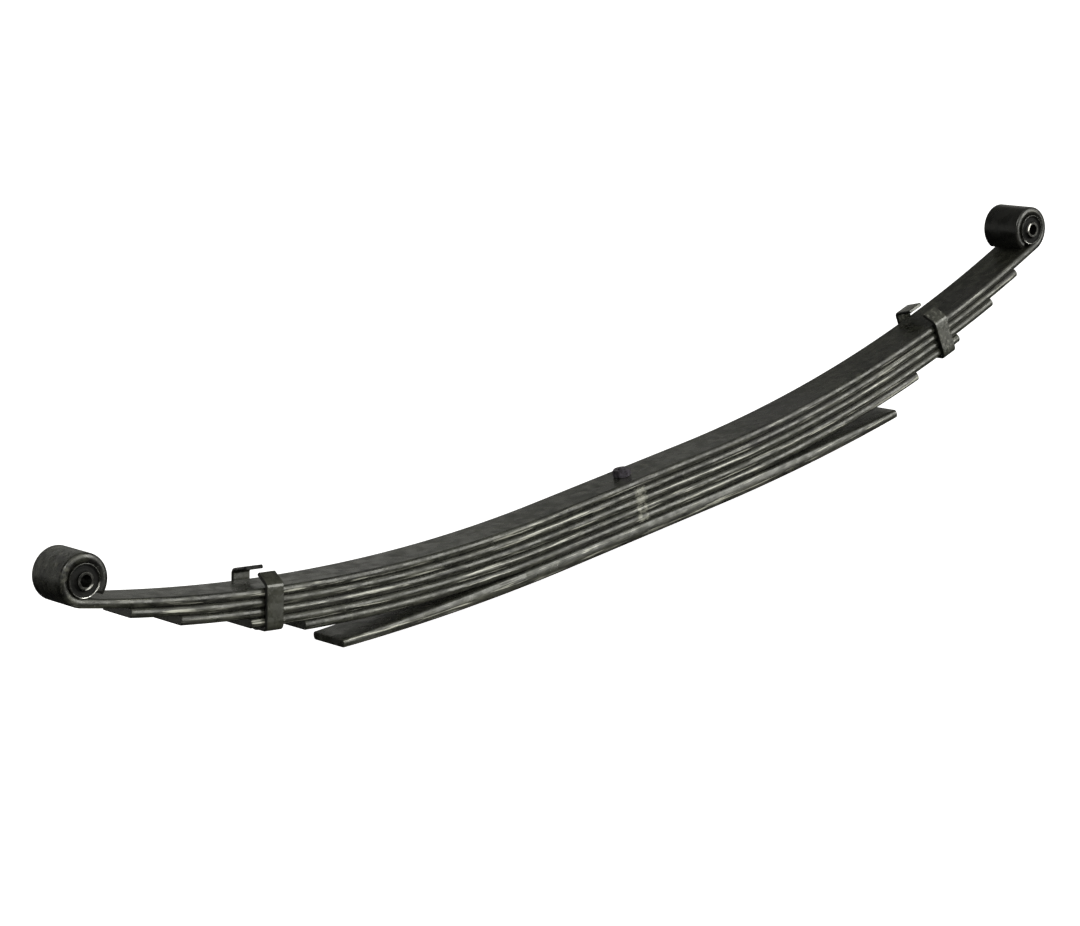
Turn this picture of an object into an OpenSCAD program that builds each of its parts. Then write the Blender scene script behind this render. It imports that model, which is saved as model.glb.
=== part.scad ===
// Truck leaf spring: five thin leaves over a tapered overload leaf, clamped by one centre
// bolt, with upturned eyes, bonded rubber bushings and two riveted rebound clips.
// Millimetres, +Z up. X runs along the spring with the front eye at -X. The origin is on the
// centre bolt's axis, in the plane of the pack's underside that sits on the axle.

/* [Leaves] */
// width of every leaf
leaf_width = 63.5; // [50:0.5:90]
// thickness of the five thin leaves
leaf_thickness = 11.6; // [7:0.1:14]
// free gap between neighbouring leaves
leaf_gap = 0.35; // [0.3:0.05:2]
// corner radius of the rolled leaf edges
edge_radius = 3; // [1:0.5:5]
// half length of the flat seat in the middle of the pack
seat_half = 131; // [60:1:160]
// radius of the main leaf's lower face beyond the seat
arch_radius = 2128; // [1500:1:4000]

/* [Leaf reach from the centre bolt, along the arch] */
// main leaf to the front eye
front_eye_reach = 855; // [700:1:900]
// main leaf to the rear eye
rear_eye_reach = 814; // [700:1:900]
// second leaf, front tip
second_front_reach = 787; // [600:1:800]
// second leaf, rear tip
second_rear_reach = 760; // [600:1:780]
// third leaf, front tip
third_front_reach = 717; // [500:1:740]
// third leaf, rear tip
third_rear_reach = 699; // [500:1:720]
// fourth leaf, either tip
fourth_reach = 619; // [605:1:640]
// fifth leaf, front tip
fifth_front_reach = 541; // [400:1:560]
// fifth leaf, rear tip
fifth_rear_reach = 527; // [400:1:550]

/* [Overload leaf] */
// thickness at the seat
overload_thickness = 20; // [14:0.5:26]
// front tip
overload_front_reach = 498; // [350:1:520]
// rear tip
overload_rear_reach = 482; // [350:1:520]
// radius of the upper face beyond the seat
overload_top_radius = 6400; // [4500:10:9000]
// radius of the lower face beyond the seat
overload_bottom_radius = 3380; // [3000:10:4000]

/* [Eyes and bushings] */
// outer radius of a rolled eye
eye_outer = 32.5; // [25:0.5:40]
// how far round the eye is rolled, in degrees
eye_wrap = 300; // [270:1:305]
// radial clearance of the fitted bushing parts
bushing_fit = 0.05; // [0.02:0.01:0.1]
// wall of the bushing's outer steel shell
shell_wall = 1.6; // [1:0.1:3]
// length of the outer shell
shell_length = 66; // [60:0.5:70]
// length of the rubber at its ends
rubber_length = 65; // [60:0.5:69]
// how deep the rubber's end faces are dished
rubber_dish = 2.2; // [0:0.1:4]
// outer radius of the inner sleeve
sleeve_outer = 11; // [9:0.1:13]
// bore radius of the inner sleeve
sleeve_bore = 7.25; // [6:0.05:9]
// length of the inner sleeve
sleeve_length = 71; // [64:0.5:80]

/* [Centre bolt] */
// radius of the bolt's shank
bolt_radius = 5.55; // [5:0.05:7]
// radius of the bolt holes in the leaves
bolt_hole = 6.2; // [6:0.1:7.5]
// radius of the round locating head
head_radius = 8.5; // [8:0.1:11]
// height of the locating head
head_height = 6; // [4:0.5:12]
// depth of the spot face that the head seats on, in the overload leaf
spot_face_depth = 0.5; // [0.2:0.1:1]
// nut size across flats
nut_flats = 21; // [16:1:24]
// nut height
nut_height = 10; // [8:0.5:14]
// thread standing proud of the nut
thread_stub = 1.5; // [1.5:0.5:12]

/* [Rebound clips] */
// reach of both clips along the arch
clip_reach = 589; // [570:1:600]
// width of the clip strap
strap_width = 25.4; // [20:0.2:32]
// thickness of the clip strap
strap_thickness = 5; // [3:0.5:7]
// side clearance between strap and leaves
strap_clearance = 1.2; // [0.5:0.1:3]
// inner radius of the strap's bends
bend_radius = 3; // [2:0.5:6]
// height of the near leg's bend above the main leaf
near_rise = 1; // [0.5:0.5:8]
// height of the far leg's bend above the main leaf
far_rise = 7; // [0.5:0.5:12]
// upward slope of the near tab, in degrees
near_tab_slope = 33; // [0:1:45]
// upward slope of the far tab, in degrees
far_tab_slope = 13; // [0:1:45]
// length of the near tab past its bend
near_tab = 18; // [10:1:24]
// length of the far tab past its bend
far_tab = 26; // [10:1:28]

/* [Clip rivets and tip buttons] */
// radius of the rivet shank
rivet_radius = 4; // [3:0.1:5]
// radius of the rivet's round head
rivet_head = 7.5; // [6:0.1:9]
// height of the rivet's round head
rivet_head_height = 4.5; // [3:0.1:6]
// depth of the countersunk end in the fourth leaf
sink_depth = 3; // [2:0.1:5]
// radius of the countersunk end
sink_radius = 7; // [5:0.1:9]
// radial clearance of rivets and buttons in their holes
hole_clearance = 0.3; // [0.3:0.05:0.6]
// radius of an anti-friction button
button_radius = 10; // [8:0.5:13]
// thickness of a button's disc
button_disc = 2; // [1.5:0.1:3]
// radius of a button's stem
button_stem = 4; // [3:0.1:5]
// distance from a leaf tip to its button
button_inset = 24; // [20:1:40]

/* [Hidden] */
pitch = leaf_thickness + leaf_gap;
// leaves are counted from 0 for the main leaf
clip_leaf = 3;
lowest_leaf = 4;
button_leaves = [1, 2, 4];
main_level = overload_thickness + leaf_gap + lowest_leaf * pitch;
main_top = main_level + leaf_thickness;
arc_level = main_level + arch_radius;
half_width = leaf_width / 2;
eye_inner = eye_outer - leaf_thickness;
arc_facets = 720;
round_facets = 64;
edge_facets = 32;
bend_facets = 48;
contact_gap = 0.05;
spot_face_radius = head_radius + 1;
head_top = spot_face_depth - contact_gap;
nut_chamfer = 1.4;
thread_chamfer = 1;
head_chamfer = 1;
sleeve_chamfer = 0.6;
button_proud = 0.05;
rivet_crown = 0.55;
rivet_band = 0.4;
button_pocket = button_disc + hole_clearance;
// the overload leaf's middle plane curves up at about this radius, which draws its tips in a
// little along x
overload_mid_radius = 4400;
tip_draw = 0.998;
tip_middle = 24.5;
tip_cut = 60;
reach_past = 1;
// the lengths of one leaf run into each other and step by this little, so that no two of
// their faces coincide
arm_overlap = 0.01;
arm_grow = 0.01;
eye_overlap = 0.8;
eye_grow = 0.05;
tab_overlap = 0.3;
tab_inset = 0.01;

// slope and x of an overload tip at this reach
function tip_slope(reach) = (reach - seat_half) / overload_mid_radius * 180 / PI;
function tip_x(reach) = seat_half + tip_draw * (reach - seat_half);

// angle of the arch swept between the seat's end and a point at this reach
function swing(reach) = (reach - seat_half) / arch_radius * 180 / PI;

// front tip reaches and rear tip reaches of leaves one to five
front_tips = [front_eye_reach, second_front_reach, third_front_reach, fourth_reach,
    fifth_front_reach];
rear_tips = [rear_eye_reach, second_rear_reach, third_rear_reach, fourth_reach,
    fifth_rear_reach];

leaf_color = [0.16, 0.16, 0.15];
shell_color = [0.42, 0.42, 0.42];
rubber_color = [0.05, 0.05, 0.05];
sleeve_color = [0.62, 0.62, 0.6];
bolt_color = [0.24, 0.23, 0.25];
clip_color = [0.2, 0.2, 0.19];
button_color = [0.75, 0.73, 0.66];

// ---- placing ----

// puts children at a reach along the arch, z = 0 on the main leaf's lower face
module at_reach(side, reach) {
    translate([side * seat_half, 0, arc_level])
        rotate([0, -side * swing(reach), 0])
            translate([0, 0, -arch_radius])
                children();
}

// puts children on an eye's axis
module at_eye(side) {
    at_reach(side, side < 0 ? front_eye_reach : rear_eye_reach)
        translate([0, 0, eye_outer])
            children();
}

// a cylinder lying across the spring
module across(r, length) {
    rotate([90, 0, 0])
        cylinder(r = r, h = length, center = true, $fn = round_facets);
}

// ---- leaves ----

// leaf cross-section: thickness along x, width along y, rolled corners, and fuller by grow
module leaf_section(grow) {
    straight = half_width - edge_radius;
    inset = edge_radius;
    translate([-grow, -straight])
        square([leaf_thickness + 2 * grow, 2 * straight]);
    translate([inset, -half_width - grow])
        square([leaf_thickness - 2 * inset, leaf_width + 2 * grow]);
    for (x = [inset, leaf_thickness - inset], y = [-1, 1])
        translate([x, y * straight])
            circle(r = edge_radius + grow, $fn = edge_facets);
}

// the arched part of leaf n beyond the seat, n = 0 for the main leaf
module leaf_arm(n, side, reach) {
    mirror([side < 0 ? 1 : 0, 0, 0])
        translate([seat_half, 0, arc_level])
            rotate([90, 0, 0])
                rotate([0, 0, -90 - arm_overlap])
                    rotate_extrude(angle = swing(reach) + arm_overlap, $fn = arc_facets)
                        translate([arch_radius + n * pitch - leaf_thickness, 0])
                            leaf_section(arm_grow);
}

// the flat seat of leaf n
module leaf_seat(n) {
    translate([-seat_half, 0, main_level - n * pitch])
        rotate([90, 0, 90])
            linear_extrude(height = 2 * seat_half)
                rotate(90)
                    leaf_section(0);
}

// the rolled eye at one end of the main leaf
module eye_roll(side) {
    sweep = eye_wrap + eye_overlap;
    at_eye(side)
        mirror([side < 0 ? 1 : 0, 0, 0])
            rotate([90, 0, 0])
                rotate([0, 0, -90 - eye_overlap])
                    rotate_extrude(angle = sweep, $fn = round_facets)
                        translate([eye_inner, 0])
                            leaf_section(eye_grow);
}

module bolt_bore() {
    translate([0, 0, -reach_past])
        cylinder(r = bolt_hole, h = main_top + 2 * reach_past, $fn = round_facets);
}

// pocket and stem hole for the button at one tip of leaf n
module button_hole(n, side) {
    tip = side < 0 ? front_tips[n] : rear_tips[n];
    at_reach(side, tip - button_inset)
        translate([0, 0, -n * pitch]) {
            translate([0, 0, leaf_thickness - button_pocket])
                cylinder(r = button_radius + hole_clearance, h = 2 * button_pocket,
                    $fn = round_facets);
            translate([0, 0, -reach_past])
                cylinder(r = button_stem + hole_clearance, h = leaf_thickness,
                    $fn = round_facets);
        }
}

module plain_leaf(n, buttons) {
    color(leaf_color)
    difference() {
        union() {
            leaf_seat(n);
            leaf_arm(n, -1, front_tips[n]);
            leaf_arm(n, 1, rear_tips[n]);
        }
        bolt_bore();
        if (buttons)
            for (side = [-1, 1])
                button_hole(n, side);
    }
}

module main_leaf() {
    color(leaf_color)
    difference() {
        union() {
            leaf_seat(0);
            leaf_arm(0, -1, front_eye_reach);
            leaf_arm(0, 1, rear_eye_reach);
            eye_roll(-1);
            eye_roll(1);
        }
        bolt_bore();
    }
}

module second_leaf() {
    plain_leaf(1, true);
}

module third_leaf() {
    plain_leaf(2, true);
}

// the fourth leaf carries the clips, so its tips have rivet holes in place of buttons
module fourth_leaf() {
    color(leaf_color)
    difference() {
        plain_leaf(clip_leaf, false);
        for (side = [-1, 1])
            at_reach(side, clip_reach)
                translate([0, 0, -clip_leaf * pitch])
                    rivet_hole();
    }
}

module fifth_leaf() {
    plain_leaf(lowest_leaf, true);
}

// rivet hole with its countersink in the leaf's upper face, z = 0 on the leaf's lower face
module rivet_hole() {
    translate([0, 0, -reach_past])
        cylinder(r = rivet_radius + hole_clearance, h = leaf_thickness + 2 * reach_past,
            $fn = round_facets);
    translate([0, 0, leaf_thickness - sink_depth - hole_clearance])
        cylinder(r1 = rivet_radius + hole_clearance, r2 = sink_radius + 2 * hole_clearance,
            h = sink_depth + 2 * hole_clearance, $fn = round_facets);
}

// side outline of one arm of the overload leaf: thins towards the tip
module overload_arm_outline(reach) {
    slope = tip_slope(reach);
    x = tip_x(reach);
    difference() {
        intersection() {
            translate([seat_half, overload_bottom_radius])
                circle(r = overload_bottom_radius, $fn = arc_facets);
            polygon([
                [seat_half, tip_middle - tip_cut],
                [x + tip_cut * sin(slope), tip_middle - tip_cut * cos(slope)],
                [x - tip_cut * sin(slope), tip_middle + tip_cut * cos(slope)],
                [seat_half, tip_middle + tip_cut]
            ]);
        }
        translate([seat_half, overload_thickness + overload_top_radius])
            circle(r = overload_top_radius, $fn = arc_facets);
    }
}

module overload_arm(reach) {
    rotate([90, 0, 0])
        linear_extrude(height = leaf_width, center = true)
            overload_arm_outline(reach);
}

module overload_leaf() {
    color(leaf_color)
    difference() {
        union() {
            translate([-seat_half, -half_width, 0])
                cube([2 * seat_half, leaf_width, overload_thickness]);
            overload_arm(overload_rear_reach);
            mirror([1, 0, 0])
                overload_arm(overload_front_reach);
        }
        bolt_bore();
        translate([0, 0, -reach_past])
            cylinder(r = spot_face_radius, h = reach_past + spot_face_depth,
                $fn = round_facets);
    }
}

// ---- centre bolt ----

module centre_bolt() {
    end = main_top + contact_gap + nut_height + thread_stub;
    color(bolt_color) {
        translate([0, 0, head_top - head_height])
            cylinder(r1 = head_radius - head_chamfer, r2 = head_radius, h = head_chamfer,
                $fn = round_facets);
        translate([0, 0, head_top - head_height + head_chamfer])
            cylinder(r = head_radius, h = head_height - head_chamfer, $fn = round_facets);
        translate([0, 0, head_top])
            cylinder(r = bolt_radius, h = end - thread_chamfer - head_top,
                $fn = round_facets);
        translate([0, 0, end - thread_chamfer])
            cylinder(r1 = bolt_radius, r2 = bolt_radius - thread_chamfer,
                h = thread_chamfer, $fn = round_facets);
    }
}

module centre_nut() {
    corner = nut_flats / 2 / cos(30);
    color(bolt_color)
    translate([0, 0, main_top + contact_gap])
    difference() {
        intersection() {
            cylinder(r = corner, h = nut_height, $fn = 6);
            union() {
                cylinder(r = corner + 1, h = nut_height - nut_chamfer, $fn = round_facets);
                translate([0, 0, nut_height - nut_chamfer])
                    cylinder(r1 = corner + 1, r2 = corner - nut_chamfer, h = nut_chamfer,
                        $fn = round_facets);
            }
        }
        translate([0, 0, -reach_past])
            cylinder(r = bolt_radius + contact_gap, h = nut_height + 2 * reach_past,
                $fn = round_facets);
    }
}

// ---- bushings ----

module bushing_shell(side) {
    outer = eye_inner - bushing_fit;
    color(shell_color)
    at_eye(side)
        difference() {
            across(outer, shell_length);
            across(outer - shell_wall, shell_length + 2 * reach_past);
        }
}

// bonded rubber with dished end faces
module bushing_rubber(side) {
    inner = sleeve_outer;
    outer = eye_inner - 2 * bushing_fit - shell_wall;
    middle = (inner + outer) / 2;
    color(rubber_color)
    at_eye(side)
        rotate([90, 0, 0])
            rotate_extrude($fn = round_facets)
                polygon([
                    [inner, -rubber_length / 2],
                    [middle, -rubber_length / 2 + rubber_dish],
                    [outer, -rubber_length / 2 + rubber_dish / 2],
                    [outer, rubber_length / 2 - rubber_dish / 2],
                    [middle, rubber_length / 2 - rubber_dish],
                    [inner, rubber_length / 2]
                ]);
}

// inner sleeve that the hanger or shackle bolt clamps
module inner_sleeve(side) {
    outer = sleeve_outer - bushing_fit;
    half = sleeve_length / 2;
    color(sleeve_color)
    at_eye(side)
        rotate([90, 0, 0])
            rotate_extrude($fn = round_facets)
                polygon([
                    [sleeve_bore, -half],
                    [outer - sleeve_chamfer, -half],
                    [outer, -half + sleeve_chamfer],
                    [outer, half - sleeve_chamfer],
                    [outer - sleeve_chamfer, half],
                    [sleeve_bore, half]
                ]);
}

module front_bushing_shell() {
    bushing_shell(-1);
}

module rear_bushing_shell() {
    bushing_shell(1);
}

module front_bushing_rubber() {
    bushing_rubber(-1);
}

module rear_bushing_rubber() {
    bushing_rubber(1);
}

module front_inner_sleeve() {
    inner_sleeve(-1);
}

module rear_inner_sleeve() {
    inner_sleeve(1);
}

// ---- rebound clips ----

// a bend in the strap's outline: centred at the origin, from one angle over a sweep
module bend(from, sweep) {
    outer = bend_radius + strap_thickness;
    far = 2 * outer;
    intersection() {
        difference() {
            circle(r = outer, $fn = bend_facets);
            circle(r = bend_radius, $fn = bend_facets);
        }
        polygon([
            [0, 0],
            [far * cos(from), far * sin(from)],
            [far * cos(from + sweep / 2), far * sin(from + sweep / 2)],
            [far * cos(from + sweep), far * sin(from + sweep)]
        ]);
    }
}

// one side of the strap's outline, drawn on the +x side: half the base, leg, bend and tab
module strap_side(rise, slope, tab) {
    inner = half_width + strap_clearance;
    base = -clip_leaf * pitch - hole_clearance;
    top = leaf_thickness + rise;
    center_x = inner - bend_radius;
    translate([0, base - strap_thickness])
        square([center_x, strap_thickness]);
    translate([center_x, base + bend_radius])
        bend(-90, 90);
    translate([inner, base + bend_radius])
        square([strap_thickness, top - base - bend_radius]);
    translate([center_x, top]) {
        bend(0, 90 - slope);
        rotate(-slope)
            translate([-tab, bend_radius + tab_inset])
                square([tab + tab_overlap, strap_thickness - 2 * tab_inset]);
    }
}

// cross-section of the whole strap, +x towards the far side of the spring
module strap_outline() {
    strap_side(far_rise, far_tab_slope, far_tab);
    mirror([1, 0])
        strap_side(near_rise, near_tab_slope, near_tab);
}

module clip(side) {
    color(clip_color)
    at_reach(side, clip_reach)
        difference() {
            rotate([90, 0, 90])
                linear_extrude(height = strap_width, center = true)
                    strap_outline();
            translate([0, 0, -clip_leaf * pitch - 3 * strap_thickness])
                cylinder(r = rivet_radius + hole_clearance, h = 3 * strap_thickness,
                    $fn = round_facets);
        }
}

module clip_rivet(side) {
    under = -clip_leaf * pitch - 2 * hole_clearance - strap_thickness;
    top = -clip_leaf * pitch + leaf_thickness;
    color(clip_color)
    at_reach(side, clip_reach) {
        translate([0, 0, under - rivet_head_height])
            cylinder(r1 = rivet_head * rivet_crown, r2 = rivet_head,
                h = rivet_head_height * (1 - rivet_band), $fn = round_facets);
        translate([0, 0, under - rivet_head_height * rivet_band])
            cylinder(r = rivet_head, h = rivet_head_height * rivet_band,
                $fn = round_facets);
        translate([0, 0, under])
            cylinder(r = rivet_radius, h = top - sink_depth - under, $fn = round_facets);
        translate([0, 0, top - sink_depth])
            cylinder(r1 = rivet_radius, r2 = sink_radius, h = sink_depth,
                $fn = round_facets);
    }
}

module front_clip() {
    clip(-1);
}

module rear_clip() {
    clip(1);
}

module front_clip_rivet() {
    clip_rivet(-1);
}

module rear_clip_rivet() {
    clip_rivet(1);
}

// ---- tip buttons ----

// the anti-friction button in one tip of leaf n, pressing on the leaf above
module button(n, side) {
    tip = side < 0 ? front_tips[n] : rear_tips[n];
    face = -n * pitch + leaf_thickness + button_proud;
    at_reach(side, tip - button_inset) {
        translate([0, 0, face - button_disc])
            cylinder(r = button_radius, h = button_disc, $fn = round_facets);
        translate([0, 0, -n * pitch + hole_clearance])
            cylinder(r = button_stem, h = leaf_thickness - button_disc,
                $fn = round_facets);
    }
}

module tip_buttons(side) {
    color(button_color)
    for (n = button_leaves)
        button(n, side);
}

module front_tip_buttons() {
    tip_buttons(-1);
}

module rear_tip_buttons() {
    tip_buttons(1);
}

main_leaf();
second_leaf();
third_leaf();
fourth_leaf();
fifth_leaf();
overload_leaf();
centre_bolt();
centre_nut();
front_bushing_shell();
front_bushing_rubber();
front_inner_sleeve();
rear_bushing_shell();
rear_bushing_rubber();
rear_inner_sleeve();
front_clip();
front_clip_rivet();
rear_clip();
rear_clip_rivet();
front_tip_buttons();
rear_tip_buttons();
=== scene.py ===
"""A truck leaf spring: five thin leaves over a tapered overload leaf, with bushed eyes,
riveted rebound clips and a centre bolt. Metres, +Z up, the front eye at -X."""

import math

import bmesh
import bpy
from mathutils import Matrix, Vector


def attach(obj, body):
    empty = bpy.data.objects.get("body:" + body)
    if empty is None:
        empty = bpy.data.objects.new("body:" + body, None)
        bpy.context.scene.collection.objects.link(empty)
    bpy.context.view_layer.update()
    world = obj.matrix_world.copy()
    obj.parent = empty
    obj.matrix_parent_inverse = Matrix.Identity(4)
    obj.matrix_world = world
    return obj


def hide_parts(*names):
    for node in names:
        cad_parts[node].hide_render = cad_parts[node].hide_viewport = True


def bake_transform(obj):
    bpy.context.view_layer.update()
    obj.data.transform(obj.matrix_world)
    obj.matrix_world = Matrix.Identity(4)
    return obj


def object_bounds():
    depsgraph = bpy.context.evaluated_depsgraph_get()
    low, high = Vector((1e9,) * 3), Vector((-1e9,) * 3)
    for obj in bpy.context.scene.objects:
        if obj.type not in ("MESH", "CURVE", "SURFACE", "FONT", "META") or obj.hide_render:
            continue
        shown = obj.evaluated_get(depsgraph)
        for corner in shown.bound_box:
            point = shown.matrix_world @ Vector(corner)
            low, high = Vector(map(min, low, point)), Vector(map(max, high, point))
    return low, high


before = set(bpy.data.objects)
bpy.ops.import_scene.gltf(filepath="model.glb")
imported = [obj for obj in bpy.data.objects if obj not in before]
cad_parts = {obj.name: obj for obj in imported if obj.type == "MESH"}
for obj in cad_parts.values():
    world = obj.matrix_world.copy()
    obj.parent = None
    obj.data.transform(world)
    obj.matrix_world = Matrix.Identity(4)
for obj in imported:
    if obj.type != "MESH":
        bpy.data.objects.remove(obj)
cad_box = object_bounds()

MM = 0.001

# ---- sizes of the spring ----

LEAF_WIDTH = 63.5 * MM
LEAF_THICKNESS = 11.6 * MM
PITCH = 11.95 * MM  # from one leaf's lower face to the next one's
SEAT_HALF = 131 * MM  # half length of the flat seat
ARCH_RADIUS = 2128 * MM  # of the main leaf's lower face
MAIN_LEVEL = 68.15 * MM  # height of that face on the seat
ARC_LEVEL = MAIN_LEVEL + ARCH_RADIUS

FRONT_EYE_REACH, REAR_EYE_REACH = 855 * MM, 814 * MM
FRONT_TIPS = [FRONT_EYE_REACH, 787 * MM, 717 * MM, 619 * MM, 541 * MM]
REAR_TIPS = [REAR_EYE_REACH, 760 * MM, 699 * MM, 619 * MM, 527 * MM]

OVERLOAD_THICKNESS = 20 * MM
OVERLOAD_REACHES = {-1: 498 * MM, 1: 482 * MM}  # front and rear
OVERLOAD_TOP_RADIUS = 6400 * MM
OVERLOAD_BOTTOM_RADIUS = 3380 * MM
OVERLOAD_MID_RADIUS = 4400 * MM
OVERLOAD_DRAW = 0.998  # its arms' length along x over their own
OVERLOAD_TIP_Z = 24.5 * MM

EYE_OUTER = 32.5 * MM
EYE_INNER = EYE_OUTER - LEAF_THICKNESS
EYE_WRAP = math.radians(300)

CLIP_REACH = 589 * MM
STRAP_WIDTH = 25.4 * MM
STRAP_THICKNESS = 5 * MM
STRAP_INNER = LEAF_WIDTH / 2 + 1.2 * MM
STRAP_BEND = 3 * MM
CLIP_LEAF = 3  # the leaf that carries the clips, counted from the main leaf
CLIP_SLACK = 0.3 * MM  # between that leaf and the strap's base
# how far each leg rises past the main leaf, its tab's slope in degrees and its length
NEAR_RISE, NEAR_SLOPE, NEAR_TAB = 1 * MM, 33, 18 * MM
FAR_RISE, FAR_SLOPE, FAR_TAB = 7 * MM, 13, 26 * MM

# bushings: the gap between their parts, then radii, and half lengths along the eye's axis
BUSHING_FIT = 0.05 * MM
BUSHING_FILLET = 0.6 * MM
SHELL_WALL, SHELL_HALF = 1.6 * MM, 33 * MM
RUBBER_BORE, RUBBER_HALF, RUBBER_DISH = 11 * MM, 32.5 * MM, 2.2 * MM
SLEEVE_OUTER, SLEEVE_BORE, SLEEVE_HALF = 10.95 * MM, 7.25 * MM, 35.5 * MM

BOLT_RADIUS, THREAD_ROOT = 5.55 * MM, 4.75 * MM
THREAD_START, THREAD_PITCH, BOLT_TOP = 60 * MM, 1.5 * MM, 91.3 * MM
HEAD_RADIUS, HEAD_HEIGHT = 8.5 * MM, 6 * MM
HEAD_TOP = 0.45 * MM  # it seats in a spot face
NUT_BASE, NUT_HEIGHT = 79.8 * MM, 10 * MM
NUT_FLAT, NUT_BORE = 10.5 * MM, 5.6 * MM  # from the axis to a flat, and the hole's radius

RIVET_RADIUS, RIVET_HEAD, RIVET_DOME = 4 * MM, 7.5 * MM, 4.5 * MM
BUTTON_LEAVES = (1, 2, 4)
BUTTON_DISC, BUTTON_STEM, BUTTON_THICKNESS = 10 * MM, 4 * MM, 2 * MM
BUTTON_INSET = 24 * MM  # from a leaf's tip

# the leaves bend between these places; the eyes and the seat stay rigid
FRONT_BEND_END = -786 * MM
REAR_BEND_END = 748 * MM
OVERLOAD_BEND_END = 1013 * MM


# ---- small helpers ----

ACROSS = Vector((0, 1, 0))


def tag_of(side):
    return "front" if side < 0 else "rear"


def matrix_of(x_axis, y_axis, z_axis, origin):
    """Matrix that carries the world's axes onto these, and its origin to this place."""
    columns = (x_axis, y_axis, z_axis, origin)
    rows = [[column[i] for column in columns] for i in range(3)]
    return Matrix(rows + [[0, 0, 0, 1]])


def signed_frame(reach, leaf):
    """Point on a leaf's lower face, the way along it and the way up, at a signed reach."""
    side = -1 if reach < 0 else 1
    past = abs(reach) - SEAT_HALF
    if past <= 0:
        return (
            Vector((reach, 0, MAIN_LEVEL - leaf * PITCH)),
            Vector((1, 0, 0)),
            Vector((0, 0, 1)),
        )
    turn = past / ARCH_RADIUS
    radius = ARCH_RADIUS + leaf * PITCH
    point = Vector(
        (
            side * (SEAT_HALF + radius * math.sin(turn)),
            0,
            ARC_LEVEL - radius * math.cos(turn),
        )
    )
    along = Vector((math.cos(turn), 0, side * math.sin(turn)))
    up = Vector((-side * math.sin(turn), 0, math.cos(turn)))
    return point, along, up


def place_at(reach):
    """Matrix with x along the spring, y across it and z up from the main leaf's lower face."""
    point, along, up = signed_frame(reach, 0)
    return matrix_of(along, up.cross(along), up, point)


def eye_matrix(side):
    """Matrix at an eye's centre, z along the eye's axis towards the far side."""
    reach = -FRONT_EYE_REACH if side < 0 else REAR_EYE_REACH
    point, along, up = signed_frame(reach, 0)
    return matrix_of(along, ACROSS.cross(along), ACROSS, point + up * EYE_OUTER)


def steps(start, end, count):
    return [start + (end - start) * i / count for i in range(count + 1)]


def new_piece(name, points, flow, faces, material):
    """A mesh object. flow is each point's own place on the piece: along, across, through."""
    mesh = bpy.data.meshes.new(name)
    mesh.from_pydata([tuple(p) for p in points], [], faces)
    mesh.validate()
    held = mesh.attributes.new("flow", "FLOAT_VECTOR", "POINT")
    held.data.foreach_set("vector", [c for p in flow for c in p])
    mesh.polygons.foreach_set("use_smooth", [True] * len(mesh.polygons))
    mesh.materials.append(material)
    mesh.update()
    obj = bpy.data.objects.new(name, mesh)
    bpy.context.scene.collection.objects.link(obj)
    return obj


# ---- swept pieces: leaves and clips ----

CORNER_STEPS = 5
CROWN_STEPS = 5
LEAST_CORNER = 0.25 * MM
FLAT_HOLD = 0.5 * MM  # from a flat's last inner point to where its corner starts
TOP_LOOPS = (-0.66, -0.33, 0, 0.33, 0.66)

# corner radius, and the angle in degrees at which a corner meets its edge
LEAF_CORNER = 2.6 * MM
OVERLOAD_CORNER, OVERLOAD_LEAN = 3.4 * MM, 16
STRAP_CORNER, STRAP_LEAN = 1.1 * MM, 30

STATION_SPACING = 12 * MM
EYE_STATIONS = 72
OVERLOAD_STATIONS = 80
BEND_STATIONS = 8


def bar_outline(width, thickness, corner, lean, inset):
    """Section of a rolled flat bar as (across, through) points: rounded corners that run
    into crowned edges. lean is the angle at which a corner meets its edge."""
    half = width / 2 - inset
    low, high = inset, thickness - inset
    middle = (low + high) / 2
    corner = max(corner - inset, LEAST_CORNER)
    corner = min(corner, 0.8 * (high - low) / 2)
    crown = ((high - low) / 2 - corner * (1 - math.sin(lean))) / math.sin(lean)
    center = half - crown + (crown - corner) * math.cos(lean)
    flat = center - FLAT_HOLD
    quarter = [(flat, high)]
    for i in range(CORNER_STEPS + 1):
        angle = math.pi / 2 + (lean - math.pi / 2) * i / CORNER_STEPS
        quarter.append(
            (center + corner * math.cos(angle), high - corner + corner * math.sin(angle))
        )
    for i in range(1, CROWN_STEPS):
        angle = lean * (1 - i / CROWN_STEPS)
        quarter.append(
            (half - crown + crown * math.cos(angle), middle + crown * math.sin(angle))
        )
    quarter.append((half, middle))
    lower = [(a, 2 * middle - b) for a, b in reversed(quarter[:-1])]
    side = quarter + lower
    top = [(x * flat, high) for x in TOP_LOOPS]
    bottom = [(-x * flat, low) for x in TOP_LOOPS]
    other = [(-a, b) for a, b in reversed(side)]
    return top + side + bottom + other


# distance before a square-cut end, and how far the section has drawn in there
END_ROUND = 1.1 * MM
END_STATIONS = [
    (END_ROUND * (1 - math.sin(a)), END_ROUND * (1 - math.cos(a)))
    for a in [math.radians(d) for d in (0, 22, 45, 68, 90)]
]


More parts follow.
